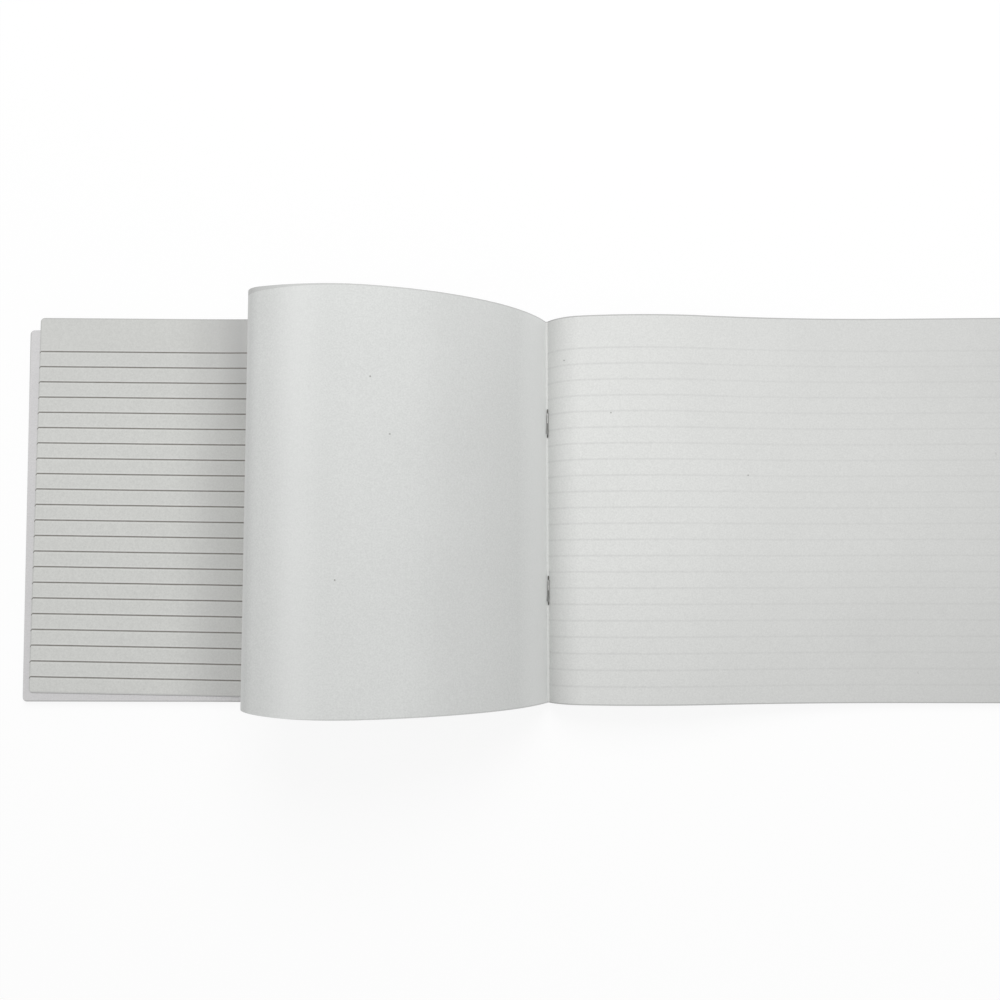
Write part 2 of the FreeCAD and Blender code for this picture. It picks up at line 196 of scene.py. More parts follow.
class NotebookForm(bpy.types.PropertyGroup):
    """Thicknesses, bends and turns of the paper."""

    leaf_count: bpy.props.IntProperty(
        name="Leaves", description="Leaves on each side of the fold", default=24, min=2, max=60)
    leaf_pitch: length_property("Leaf pitch", "Depth from one leaf to the next", 0.1 * MM)
    leaf_thickness: length_property("Leaf thickness", "Thickness of one leaf", 0.085 * MM)
    edge_scatter: length_property("Edge scatter", "How far the leaves' edges lie apart", 0.16 * MM)
    fold_top: length_property("Fold height", "Height of the top leaf at the fold", 3.6 * MM)
    flat_top: length_property("Block height", "Height of the top leaf where it lies flat", 3.0 * MM)
    fold_lip: length_property("Fold lip", "Flat stretch beside the fold", 0.05 * MM)
    left_lip: length_property("Left lip", "The same below the curled leaf", 0.8 * MM)
    foot_radius: length_property("Foot radius", "Bend at the foot of the swell", 0.3 * MM)
    foot_run: length_property("Foot run", "Straight stretch above the foot", 0.6 * MM)
    shoulder_radius: length_property("Shoulder radius", "Bend at the shoulder", 20.0 * MM)
    crest_radius: length_property("Crest radius", "Bend along the crest", 165.0 * MM)
    rise_angle: angle_property("Rise", "Slope of the paper beside the fold", 62.0)
    crest_angle: angle_property("Crest slope", "Slope where the crest begins", 8.0)
    fall_angle: angle_property("Fall", "Slope behind the crest", 12.0)
    ruled_leaf_height: length_property("Ruled leaf lift", "Lift of the ruled leaf", 0.2 * MM)
    ruled_leaf_reach: length_property("Ruled leaf reach", "Fold to fore edge", 243.0 * MM)
    ruled_leaf_start: length_property("Ruled leaf start", "Fold to the near edge", 6.0 * MM)
    ruled_leaf_turn: angle_property("Ruled leaf turn", "Turn of the ruled leaf", 1.0)
    corner_radius: length_property("Corner radius", "Rounding of the leaves' corners", 2.0 * MM)
    tail_trim: length_property("Tail trim", "Left half shorter at the tail", 2.1 * MM)
    head_trim: length_property("Head trim", "Left half lower at the head", 1.7 * MM)
    curl_skew: bpy.props.FloatProperty(
        name="Curl skew", description="How much further the curl reaches at the tail",
        default=0.001, min=-0.05, max=0.05)
    curl_drift: length_property("Curl drift", "How far the roll wanders to the head", 2.3 * MM)
    cover_thickness: length_property("Cover thickness", "Thickness of the card", 0.3 * MM)
    cover_depth: length_property("Cover depth", "Cover below the top leaf", 2.7 * MM)


class NotebookPaper(bpy.types.PropertyGroup):
    """Colours and printing of the paper."""

    paper_colour: colour_property("Paper", "Colour of the blank paper", (0.705, 0.712, 0.698))
    # A darker copy of the paper colour: painted shade, for the light that passes through the single
    # standing leaf.
    curled_shaded_colour: colour_property(
        "Curled paper", "Colour of the single leaf that stands up", (0.645, 0.656, 0.645))
    # Darker than the paper colour: painted shade on the ruled leaf, which lies in the curl's shade.
    ruled_shaded_colour: colour_property("Ruled paper", "Colour of the ruled leaf", (0.615, 0.62, 0.60))
    block_colour: colour_property("Block", "Colour of the leaves below", (0.625, 0.618, 0.622))
    line_colour: colour_property("Ruling", "Colour of the printed lines", (0.15, 0.14, 0.125))
    line_count: bpy.props.IntProperty(
        name="Lines", description="Printed lines on a leaf", default=22, min=1, max=60)
    line_pitch: length_property("Line pitch", "Distance between two lines", 7.35 * MM)
    line_width: length_property("Line width", "Width of a printed line", 0.62 * MM)
    head_margin: length_property("Head margin", "Head edge to the first line", 15.4 * MM)
    ruled_margin: length_property("Ruled margin", "The same on the ruled leaf", 16.4 * MM)
    hook_length: length_property("Hook length", "Bent end of a printed line", 0.65 * MM)
    hook_slope: bpy.props.FloatProperty(
        name="Hook slope", description="How steeply the printed lines end at the fore edge",
        default=1.3, min=0.0, max=5.0)
    show_through: bpy.props.FloatProperty(
        name="Show-through", description="How dark lines look through the leaf",
        default=0.17, min=0.0, max=1.0)


class NotebookCard(bpy.types.PropertyGroup):
    """Colours of the cover and the staples."""

    card_colour: colour_property("Cover", "Colour of the cover's card", (0.56, 0.565, 0.55))
    wire_colour: colour_property("Staple wire", "Colour of the dull wire", (0.37, 0.37, 0.36))
    tip_colour: colour_property("Wire tips", "Colour of the wire's ends", (0.12, 0.12, 0.11))


class NotebookStage(bpy.types.PropertyGroup):
    """Camera and lamps."""

    camera_height: length_property("Camera height", "Height of the lens", 0.5, 0.2, 3.0)
    lamp_power: bpy.props.FloatProperty(
        name="Lamp power", description="Power of the broad lamp", default=9.6,
        min=0.0, max=200.0, unit="POWER")
    lamp_size: length_property("Lamp size", "Side of the broad lamp", 0.7, 0.05, 3.0)
    world_level: bpy.props.FloatProperty(
        name="World level", description="Strength of the plain surrounding light", default=0.5,
        min=0.0, max=3.0)


class Socket:
    """An output socket that takes part in sums, products and comparisons."""

    def __init__(self, tree, output):
        self.tree = tree
        self.output = output

    def maths(self, operation, *values):
        return self.tree.node("ShaderNodeMath", {"operation": operation}, values)

    def __add__(self, other):
        return self.maths("ADD", self, other)

    __radd__ = __add__

    def __sub__(self, other):
        return self.maths("SUBTRACT", self, other)

    def __rsub__(self, other):
        return self.maths("SUBTRACT", other, self)

    def __mul__(self, other):
        return self.maths("MULTIPLY", self, other)

    __rmul__ = __mul__

    def below(self, other):
        return self.maths("LESS_THAN", self, other)

    def above(self, other):
        return self.maths("GREATER_THAN", self, other)

    def size(self):
        return self.maths("ABSOLUTE", self)

    def wrap(self, low, high):
        """The value brought back between low and high by whole steps."""
        return self.maths("WRAP", self, high, low)

    def either(self, other):
        """The greater of two values or masks."""
        return self.maths("MAXIMUM", self, other)

    def within(self, low, high, soft):
        """1 between low and high, with soft edges."""
        settings = {"interpolation_type": "SMOOTHSTEP"}
        rise = self.tree.node("ShaderNodeMapRange", settings, {
            "Value": self, "From Min": low - soft, "From Max": low + soft})
        fall = self.tree.node("ShaderNodeMapRange", settings, {
            "Value": self, "From Min": high - soft, "From Max": high + soft})
        return rise * (1 - fall)


class Finish:
    """One material's node tree."""

    def __init__(self, name, colour, roughness):
        self.material = bpy.data.materials.new(name)
        self.material.use_nodes = True
        self.material.diffuse_color = (*colour, 1.0)
        self.nodes = self.material.node_tree.nodes
        self.links = self.material.node_tree.links
        self.shader = self.nodes["Principled BSDF"]
        self.shader.inputs["Base Color"].default_value = (*colour, 1.0)
        self.shader.inputs["Roughness"].default_value = roughness

    def feed(self, socket, value):
        if isinstance(value, Socket):
            self.links.new(value.output, socket)
        elif isinstance(value, (tuple, list)) and len(value) == 3 and socket.type == "RGBA":
            socket.default_value = (*value, 1.0)
        else:
            socket.default_value = value

    def node(self, kind, settings, values, output=0):
        made = self.nodes.new(kind)
        for name, value in settings.items():
            setattr(made, name, value)
        pairs = values.items() if isinstance(values, dict) else enumerate(values)
        for key, value in pairs:
            self.feed(made.inputs[key], value)
        return Socket(self, made.outputs[output])

    def place(self):
        """Object coordinates as three sockets and as one."""
        coordinates = self.node("ShaderNodeTexCoord", {}, {}, "Object")
        split = self.nodes.new("ShaderNodeSeparateXYZ")
        self.links.new(coordinates.output, split.inputs[0])
        return coordinates, [Socket(self, output) for output in split.outputs]

    def noise(self, vector, scale, detail=2.0, roughness=0.5):
        return self.node("ShaderNodeTexNoise", {"noise_dimensions": "3D"}, {
            "Vector": vector, "Scale": scale, "Detail": detail, "Roughness": roughness})

    def ramp(self, value, low, high):
        """0 up to low and 1 from high on."""
        return self.node("ShaderNodeMapRange", {}, {
            "Value": value, "From Min": low, "From Max": high})

    def rise(self, value, low, high, amount):
        """A shade that grows with the value, from 0 at low to its amount at high."""
        return self.ramp(value, low, high) * amount

    def fade(self, value, low, high, amount):
        """A shade that goes with the value, from its amount at low to 0 at high."""
        return (1 - self.ramp(value, low, high)) * amount

    def band(self, value, near, far, soft, amount):
        """A shade of that amount between two places, with soft sides."""
        return value.within(near, far, soft) * amount

    def mix(self, factor, first, second):
        """Colour mix, first where the factor is 0."""
        return self.node("ShaderNodeMix", {"data_type": "RGBA"}, {
            MIX_FACTOR: factor, MIX_FIRST: first, MIX_SECOND: second}, MIX_RESULT)

    def colour(self, value):
        self.feed(self.shader.inputs["Base Color"], value)

    def rough(self, value):
        self.feed(self.shader.inputs["Roughness"], value)

    def bump(self, height, distance, strength=1.0):
        normal = self.node("ShaderNodeBump", {}, {
            "Strength": strength, "Distance": distance, "Height": height}, "Normal")
        self.links.new(normal.output, self.shader.inputs["Normal"])


class Sheet:
    """Paper or card that grows out of a strip standing at the fold."""

    def __init__(self, mesh, top, thickness, low_y, high_y, rows=1):
        self.mesh = mesh
        self.point = Vector((0.0, 0.0, top))
        self.heading = 0.0
        strip = bmesh.ops.create_grid(mesh, x_segments=1, y_segments=rows, size=0.5)["verts"]
        bmesh.ops.scale(mesh, vec=(thickness, high_y - low_y, 1.0), verts=strip)
        bmesh.ops.rotate(mesh, matrix=Matrix.Rotation(math.pi / 2, 3, "Y"), verts=strip)
        middle = Vector((0.0, (low_y + high_y) / 2, top - thickness / 2))
        bmesh.ops.translate(mesh, vec=middle, verts=strip)
        self.front = list(dict.fromkeys(face for vertex in strip for face in vertex.link_faces))

    def region(self):
        """The growing end with its edges and corners."""
        edges = dict.fromkeys(edge for face in self.front for edge in face.edges)
        corners = dict.fromkeys(corner for face in self.front for corner in face.verts)
        return [*self.front, *edges, *corners]

    def keep_front(self, grown):
        self.front = [part for part in grown if isinstance(part, bmesh.types.BMFace)]

    def turn(self, radius, heading, steps):
        """Arc of that radius on the sheet's top side, up to a new heading."""
        way = math.copysign(radius, heading - self.heading)
        centre = self.point + way * Vector((-math.sin(self.heading), 0.0, math.cos(self.heading)))
        grown = bmesh.ops.spin(
            self.mesh, geom=self.region(), cent=centre, axis=(0.0, -1.0, 0.0),
            angle=heading - self.heading, steps=steps, use_duplicate=False)
        self.keep_front(grown["geom_last"])
        self.point = centre - way * Vector((-math.sin(heading), 0.0, math.cos(heading)))
        self.heading = heading

    def run(self, length, steps=1):
        """Straight stretch along the heading."""
        step = Vector((math.cos(self.heading), 0.0, math.sin(self.heading))) * length / steps
        for _ in range(steps):
            grown = bmesh.ops.extrude_face_region(self.mesh, geom=self.region())["geom"]
            corners = [part for part in grown if isinstance(part, bmesh.types.BMVert)]
            bmesh.ops.translate(self.mesh, vec=step, verts=corners)
            self.keep_front(grown)
        self.point += step * steps

    def round_corners(self, radius):
        """Round the two corners of the fore edge."""
        edges = [edge for face in self.front for edge in face.edges]
        heights = [edge.verts[0].co.y for edge in edges]
        uprights = [edge for edge in edges if edge_lies_at(edge, min(heights))]
        uprights += [edge for edge in edges if edge_lies_at(edge, max(heights))]
        bmesh.ops.bevel(
            self.mesh, geom=uprights, offset=radius, affect="EDGES",
            segments=4, profile=0.5, material=-1)


def edge_lies_at(edge, y):
    """Whether both ends of an edge lie at that y."""
    return all(abs(end.co.y - y) < SAME_PLACE for end in edge.verts)


def wave_leaf(mesh, form, depth, reach, sides, lip, rows=1, thickness=None):
    """Leaf that swells beside the fold and then lies flat, on the right of the spine."""
    thickness = thickness or form.leaf_thickness
    leaf = Sheet(mesh, form.fold_top - depth, thickness, *sides, rows)
    leaf.run(lip)
    leaf.turn(form.foot_radius + depth, form.rise_angle, 10)
    leaf.run(form.foot_run)
    leaf.turn(form.shoulder_radius - depth, form.crest_angle, 18)
    leaf.turn(form.crest_radius - depth, -form.fall_angle, 18)
    drop = leaf.point.z - (form.flat_top - depth)
    leaf.turn(drop / (1 - math.cos(form.fall_angle)), 0.0, 12)
    leaf.run(reach - leaf.point.x, 6)
    leaf.round_corners(form.corner_radius)


def cut_near(mesh, distance):
    """Cut a right-hand leaf off at a distance from the fold."""
    cut = bmesh.ops.bisect_plane(
        mesh, geom=[*mesh.verts, *mesh.edges, *mesh.faces],
        plane_co=(distance, 0.0, 0.0), plane_no=(1.0, 0.0, 0.0), clear_inner=True)["geom_cut"]
    rim = [part for part in cut if isinstance(part, bmesh.types.BMEdge)]
    bmesh.ops.holes_fill(mesh, edges=rim)


def trim_askew(mesh, form):
    """The slightly askew trim of the left half: shorter at the tail, lower at the head."""
    for vertex in mesh.verts:
        share = vertex.co.x / PAGE_WIDTH
        rise = (vertex.co.y - TAIL_Y) / PAGE_HEIGHT
        vertex.co.x -= form.tail_trim * (1 - rise) * share ** 2
        vertex.co.y -= form.head_trim * rise * share


def mirror_left(mesh):
    """Turn a right-hand shape into the left-hand one."""
    bmesh.ops.scale(mesh, vec=(-1.0, 1.0, 1.0), verts=mesh.verts)


def piece_from(mesh, name, finish, body="pages"):
    """Object with smooth sides and sharp edges, riding on a body of the frame."""
    bmesh.ops.remove_doubles(mesh, verts=mesh.verts, dist=SAME_PLACE)
    bmesh.ops.recalc_face_normals(mesh, faces=mesh.faces)
    for face in mesh.faces:
        face.smooth = True
    for edge in mesh.edges:
        edge.smooth = edge.calc_face_angle(math.pi) < EDGE_ANGLE
    data = bpy.data.meshes.new(name)
    mesh.to_mesh(data)
    mesh.free()
    piece = bpy.data.objects.new(name, data)
    bpy.context.scene.collection.objects.link(piece)
    data.materials.append(finish.material)
    if body:
        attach(piece, body)
    return piece


def paper_tone(finish, colour, coordinates):
    """Paper colour with fine mottle and a few darker fibres."""
    grain = finish.noise(coordinates, GRAIN, 2.0, 0.6)
    mottle = finish.noise(coordinates, MOTTLE, 2.0, 0.55)
    cloud = finish.noise(coordinates, CLOUD, 2.0, 0.5)
    level = grain * 0.7 + mottle * 0.15 + cloud * 0.15
    tone = finish.ramp(level, *MOTTLE_LEVELS)
    flecks = finish.noise(coordinates, FLECKS, 1.0, 0.4)
    groups = finish.noise(coordinates, FLECK_GROUPS, 1.0, 0.5)
    fleck = finish.ramp(flecks, *FLECK_LEVELS) * finish.rise(groups, *FLECK_GROUP_LEVELS, 0.35)
    finish.rough(PAPER_ROUGHNESS + grain * 0.08)
    finish.bump(grain * 0.5 + mottle * 0.5, PAPER_BUMP, 0.4)
    mottled = finish.mix(tone, shaded(colour, 0.94), shaded(colour, 1.06))
    return finish.mix(fleck, mottled, FLECK)


def shaded(colour, factor):
    """A colour made darker or lighter."""
    return tuple(part * factor for part in colour)


def darken(finish, colour, amount):
    """The colour taken towards grey by an amount."""
    return finish.mix(amount, colour, GREY)


def line_mask(paper, margin, down, width, soft):
    """1 on the printed lines, for the distance down from the head edge."""
    half_pitch = paper.line_pitch / 2
    phase = (down - margin).wrap(-half_pitch, half_pitch)
    on_line = phase.within(-width / 2, width / 2, soft)
    top = margin - half_pitch
    return on_line * down.within(top, top + paper.line_pitch * paper.line_count, soft)


def side_mask(along, width):
    """1 on a narrow band along the head and tail edges."""
    return (along - SPINE_Y).size().above(PAGE_HEIGHT / 2 - width)


def outline_mask(reach, along, width):
    """1 on a narrow band along the head, tail and fore edges."""
    return side_mask(along, width).either(reach.above(PAGE_WIDTH - width))


def block_paper(paper):
    """Blank paper of the leaves below, with a painted shade line along their edges."""
    colour = tuple(paper.block_colour)
    finish = Finish("block_paper", colour, PAPER_ROUGHNESS)
    coordinates, (across, along, _) = finish.place()
    tone = paper_tone(finish, colour, coordinates)
    # Painted shade line along the head, tail and fore edges.
    edges = outline_mask(across.size(), along, EDGE_LINE)
    finish.colour(darken(finish, tone, edges * EDGE_SHADE))
    return finish


def curled_finish(paper):
    """Blank paper of the single leaf, with painted light where the leaves behind it back it and
    along the roll, and painted shade in the fold, on the lower slope and along its head and tail
    edges.
    """
    colour = tuple(paper.curled_shaded_colour)
    finish = Finish("curled_paper", colour, PAPER_ROUGHNESS)
    coordinates, (across, along, _) = finish.place()
    tone = paper_tone(finish, colour, coordinates)
    tone = specked(finish, tone, across, along, CURL_SPECKS)
    reach = across.size()
    # Painted light where the leaves behind back the leaf, along the top of the roll and at its rim.
    fold = finish.fade(reach, *CURL_FOLD)
    backing_light = finish.fade(reach, *CURL_BACKING_LIGHT) * (1 - fold)
    roll = finish.band(reach, *CURL_TOP_BAND) + finish.rise(reach, *CURL_RIM_LIGHT)
    tone = finish.mix(backing_light + roll, tone, PAINTED_LIGHT)
    # Painted shade on the lower slope and in the fold.
    tone = darken(finish, tone, finish.band(reach, *CURL_LOW_BAND) + fold * FOLD_SHADE)
    # Painted shade line along the head and tail edges.
    finish.colour(darken(finish, tone, side_mask(along, EDGE_LINE) * (EDGE_SHADE / 2)))
    return finish


def show_through_paper(paper):
    """Paper through which the printing of its other side shows faintly, with painted shade towards
    its edges and the gutter and a painted shade line along its outline.
    """
    finish = Finish("show_through_paper", paper.paper_colour, PAPER_ROUGHNESS)
    coordinates, (across, along, _) = finish.place()
    tone = paper_tone(finish, tuple(paper.paper_colour), coordinates)
    tone = specked(finish, tone, across, along, RIGHT_SPECKS)
    waver = finish.noise(coordinates, BACK_LINE_WAVES, 1.0, 0.5) - 0.5
    down = HEAD_Y - along + waver * BACK_LINE_WAVER
    lines = line_mask(paper, paper.head_margin, down, *BACK_LINE_SHAPE)
    strength = finish.noise(coordinates, BACK_INK, 2.0, 0.6)
    pressed = finish.rise(strength, *BACK_INK_LEVELS, 0.45) + 0.55
    pressed = pressed * (0.9 + finish.fade(across, *LINE_FADE))
    tone = darken(finish, tone, lines * pressed * paper.show_through)
    for place in RIGHT_SMUDGES:
        tone = darken(finish, tone, smudge(finish, across, along, *place))
    # Painted shade: darker towards the fore edge, the tail, the head and tail edges and the gutter.
    painted_shade = finish.rise(across, *FORE_EDGE_SHADE) + finish.rise(down, *TAIL_SHADE)
    painted_shade += finish.rise((along - SPINE_Y).size(), *SIDE_SHADE)
    painted_shade += finish.fade(across, *GUTTER_SHADE)
    tone = darken(finish, tone, painted_shade)
    # Painted shade line along the head, tail and fore edges.
    edges = outline_mask(across, along, EDGE_LINE)
    finish.colour(darken(finish, tone, edges * EDGE_SHADE))
    return finish


def distance_to(across, along, x, y):
    """How far a point of the paper lies from one place."""
    squared = (across - x) * (across - x) + (along - y) * (along - y)
    return squared.maths("SQRT", squared)


def specked(finish, tone, across, along, places):
    """The tone with a tiny dark speck at each place."""
    for place in places:
        speck = finish.fade(distance_to(across, along, *place), *SPECK_FADE)
        tone = finish.mix(speck, tone, SPECK)
    return tone


def smudge(finish, across, along, x, y):
    """Soft round finger mark at one place."""
    return finish.fade(distance_to(across, along, x, y), *SMUDGE_FADE)


def ruled_paper(paper, form):
    """Paper printed with grey lines that run off its fore edge, with a painted shade line along its
    edges and the painted shadow of the curl beside it and at the head.
    """
    finish = Finish("ruled_paper", paper.ruled_shaded_colour, PAPER_ROUGHNESS)
    coordinates, (across, along, _) = finish.place()
    tone = paper_tone(finish, tuple(paper.ruled_shaded_colour), coordinates)
    slope = math.tan(form.ruled_leaf_turn)
    reach = 0 - across
    hook = (reach - (form.ruled_leaf_reach - paper.hook_length)).either(0.0) * paper.hook_slope
    down = HEAD_Y - along - across * slope
    waver = finish.noise(coordinates, LINE_WAVES, 1.0, 0.5) * LINE_WAVER
    margin = paper.ruled_margin
    lines = line_mask(paper, margin, down - hook + waver, paper.line_width, LINE_SOFTNESS)
    rims = sum(
        line_mask(paper, margin, down + offset, *RIM_SHAPE)
        for offset in (RIM_OFFSET, -RIM_OFFSET))
    tone = finish.mix(rims * RIM_LIGHT, tone, LINE_RIM)
    tone = darken(finish, tone, smudge(finish, across, along, *RULED_SMUDGE))
    # Painted shade line along the fore, head and tail edges.
    fore = reach.above(form.ruled_leaf_reach - EDGE_LINE)
    sides = down.below(EDGE_LINE) + down.above(PAGE_HEIGHT - EDGE_LINE)
    tone = darken(finish, tone, (fore + sides) * RULED_EDGE_SHADE)
    # Painted shadow of the curl: a band beside it, more of it towards the head corner, and painted
    # shade towards the head edge.
    beside = finish.band(reach, *BESIDE_CURL_BAND)
    corner = finish.fade(reach, *RULED_CORNER_ACROSS) * finish.fade(down, *RULED_CORNER_DOWN)
    tone = darken(finish, tone, beside + corner + finish.fade(down, *RULED_TOP_SHADE))
    ink = tuple(paper.line_colour)
    strength = 0.72 + finish.noise(coordinates, INK, 2.0, 0.6) * 0.3
    finish.colour(finish.mix(lines * strength, tone, ink))
    return finish


def card_finish(card):
    """Smooth pale card with fine fibres and scuffed edges."""
    colour = tuple(card.card_colour)
    finish = Finish("cover_card", colour, 0.6)
    coordinates, (across, along, _) = finish.place()
    grain = finish.noise(coordinates, CARD_GRAIN, 3.0, 0.6)
    cloud = finish.noise(coordinates, CARD_CLOUD, 3.0, 0.5)
    tone = finish.mix(
        finish.ramp(grain * 0.6 + cloud * 0.4, *CARD_LEVELS),
        shaded(colour, 0.94), shaded(colour, 1.05))
    scuffs = finish.ramp(finish.noise(coordinates, CARD_SCUFFS, 3.0, 0.6), *SCUFF_LEVELS)
    worn = scuffs * outline_mask(across.size(), along, CARD_EDGE)
    finish.colour(finish.mix(worn * 0.4, tone, SCUFF))
    finish.rough(0.48 + grain * 0.2)
    finish.bump(grain, CARD_BUMP, 0.35)
    return finish


def wire_finish(card):
    """Dull round wire, dark at its ends, with a painted reflection of light paper between the two
    halves.
    """
    finish = Finish("staple_wire", card.wire_colour, 0.4)
    coordinates, (across, along, _) = finish.place()
    scratch = finish.noise(coordinates, WIRE_SCRATCHES, 2.0, 0.6)
    dull = finish.mix(scratch, shaded(card.wire_colour, 0.8), shaded(card.wire_colour, 1.25))
    (low, high), (other_low, _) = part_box("upper_staple"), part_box("lower_staple")
    length = high.y - low.y
    part = (along - other_low.y).wrap(0.0, low.y - other_low.y)
    ends = 1 - part.within(0.1 * length, 0.86 * length, 0.04 * length)
    loop = part.within(0.5 * length, 0.84 * length, 0.03 * length)
    # Painted reflection: light paper along the middle of each staple's loop.
    between = across.size().below(0.22 * MM) * loop
    tone = finish.mix(ends, dull, tuple(card.tip_colour))
    finish.colour(finish.mix(between, tone, MIRRORED))
    finish.rough(0.30 + scratch * 0.2)
    finish.shader.inputs["Metallic"].default_value = 1.0
    return finish


def add_paper(mesh, name, finish):
    """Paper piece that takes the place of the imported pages' looks."""
    piece = piece_from(mesh, name, finish)
    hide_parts("pages")


class NOTEBOOK_OT_leaf_stacks(bpy.types.Operator):
    """Add the leaves that lie flat on both sides of the fold"""

    bl_idname = "notebook.leaf_stacks"
    bl_label = "Leaf stacks"

    def execute(self, context):
        form, paper = context.scene.notebook_form, context.scene.notebook_paper
        finish = block_paper(paper)
        for name, seed, lip in (
            ("left_leaves", LEFT_SEED, form.left_lip),
            ("right_leaves", RIGHT_SEED, form.fold_lip),
        ):
            chance = random.Random(seed)
            mesh = bmesh.new()
            for number in range(1, form.leaf_count):
                shift = chance.uniform(-0.5, 0.5) * form.edge_scatter
                short = chance.uniform(0.0, 1.0) * form.edge_scatter
                sides = (TAIL_Y + max(shift, 0.0), HEAD_Y + min(shift, 0.0))
                wave_leaf(mesh, form, number * form.leaf_pitch, PAGE_WIDTH - short, sides, lip)
            if name == "left_leaves":
                trim_askew(mesh, form)
                mirror_left(mesh)
            add_paper(mesh, name, finish)
        return {"FINISHED"}


class NOTEBOOK_OT_right_leaf(bpy.types.Operator):
    """Add the top leaf on the right, with printing showing through"""

    bl_idname = "notebook.right_leaf"
    bl_label = "Right leaf"

    def execute(self, context):
        form, paper = context.scene.notebook_form, context.scene.notebook_paper
        mesh = bmesh.new()
        wave_leaf(mesh, form, 0.0, PAGE_WIDTH, (TAIL_Y, HEAD_Y), form.fold_lip, 8)
        add_paper(mesh, "right_leaf", show_through_paper(paper))
        return {"FINISHED"}


class NOTEBOOK_OT_ruled_leaf(bpy.types.Operator):
    """Add the ruled leaf on the left, turned a little about the spine"""

    bl_idname = "notebook.ruled_leaf"
    bl_label = "Ruled leaf"

    def execute(self, context):
        form, paper = context.scene.notebook_form, context.scene.notebook_paper
        mesh = bmesh.new()
        wave_leaf(
            mesh, form, -form.ruled_leaf_height, form.ruled_leaf_reach, (TAIL_Y, HEAD_Y),
            form.left_lip, 8)
        cut_near(mesh, form.ruled_leaf_start)
        for vertex in mesh.verts:
            vertex.co.y += vertex.co.x * math.tan(form.ruled_leaf_turn)
        mirror_left(mesh)
        add_paper(mesh, "ruled_leaf", ruled_paper(paper, form))
        return {"FINISHED"}


class NOTEBOOK_OT_curled_leaf(bpy.types.Operator):
    """Add the leaf that stands up from the fold and rolls under itself"""

    bl_idname = "notebook.curled_leaf"
    bl_label = "Curled leaf"

    first_radius: length_property("First radius", "Bend above the fold", 94.6 * MM)
    second_radius: length_property("Second radius", "Bend of the slope", 121.0 * MM)
    top_radius: length_property("Top radius", "Bend over the top", 58.0 * MM)
    roll_radius: length_property("Roll radius", "Bend of the roll", 17.2 * MM)
    lip: length_property("Lip", "Flat stretch beside the fold", 0.2 * MM)
    foot_radius: length_property("Foot radius", "Bend at the foot", 0.6 * MM)
    rise_angle: angle_property("Rise", "Slope beside the fold", 70.0)
    first_angle: angle_property("First slope", "Slope after the first bend", 44.0)
    second_angle: angle_property("Second slope", "Slope after the second bend", 15.0)
    drop_angle: angle_property("Drop", "Slope behind the top", 31.0)
    tuck_angle: angle_property("Tuck", "Heading of the tucked end", -162.42)

    def execute(self, context):
        form, paper = context.scene.notebook_form, context.scene.notebook_paper
        mesh = bmesh.new()
        leaf = Sheet(mesh, form.fold_top, form.leaf_thickness, TAIL_Y, HEAD_Y, 8)
        leaf.run(self.lip)
        used = self.lip
        for radius, heading, steps in (
            (self.foot_radius, self.rise_angle, 10),
            (self.first_radius, self.first_angle, 14),
            (self.second_radius, self.second_angle, 16),
            (self.top_radius, -self.drop_angle, 24),
            (self.roll_radius, self.tuck_angle, 40),
        ):
            used += radius * abs(heading - leaf.heading)
            leaf.turn(radius, heading, steps)
        leaf.run(PAGE_WIDTH - used, 8)
        leaf.round_corners(form.corner_radius)
        for vertex in mesh.verts:
            vertex.co.x *= 1 - form.curl_skew * (vertex.co.y - SPINE_Y) / (PAGE_HEIGHT / 2)
            rolled = max(vertex.co.x / ROLL_REACH - DRIFT_START, 0.0) / (1 - DRIFT_START)
            vertex.co.y += form.curl_drift * rolled ** 4
        mirror_left(mesh)
        add_paper(mesh, "curled_leaf", curled_finish(paper))
        return {"FINISHED"}


class NOTEBOOK_OT_covers(bpy.types.Operator):
    """Add the two card covers and the creases by which they hang on the block"""

    bl_idname = "notebook.covers"
    bl_label = "Covers"

    def execute(self, context):
        form = context.scene.notebook_form
        finish = card_finish(context.scene.notebook_card)
        for cover, side in (("front_cover", -1.0), ("back_cover", 1.0)):
            self.add_board(form, finish, cover, side)
            self.add_crease(form, finish, cover, side)
        return {"FINISHED"}

    def add_board(self, form, finish, cover, side):
        """Card that follows the swell of the leaves above it."""
        mesh = bmesh.new()
        lip = form.left_lip if side < 0 else form.fold_lip
        wave_leaf(
            mesh, form, form.cover_depth, PAGE_WIDTH, (TAIL_Y, HEAD_Y), lip, 4,
            form.cover_thickness)
        cut_near(mesh, CREASE_X)
        if side < 0:
            trim_askew(mesh, form)
            mirror_left(mesh)
        piece = piece_from(mesh, cover + "_board", finish, cover)
        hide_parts(cover)

    def add_crease(self, form, finish, cover, side):
        """Narrow flat strip between the spine and one cover."""
        mesh = bmesh.new()
        top = form.fold_top - form.cover_depth
        crease = Sheet(mesh, top, form.cover_thickness, TAIL_Y, HEAD_Y)
        crease.run(CREASE_X, 6)
        if side < 0:
            mirror_left(mesh)
        piece = piece_from(mesh, cover + "_crease", finish, body="")
        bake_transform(piece)


class NOTEBOOK_OT_staples(bpy.types.Operator):
    """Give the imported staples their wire"""

    bl_idname = "notebook.staples"
    bl_label = "Staples"

    def execute(self, context):
        finish = wire_finish(context.scene.notebook_card)
        for name in ("upper_staple", "lower_staple"):
            wire = frame["nodes"][name]
            wire.data.materials.clear()
            wire.data.materials.append(finish.material)
        return {"FINISHED"}


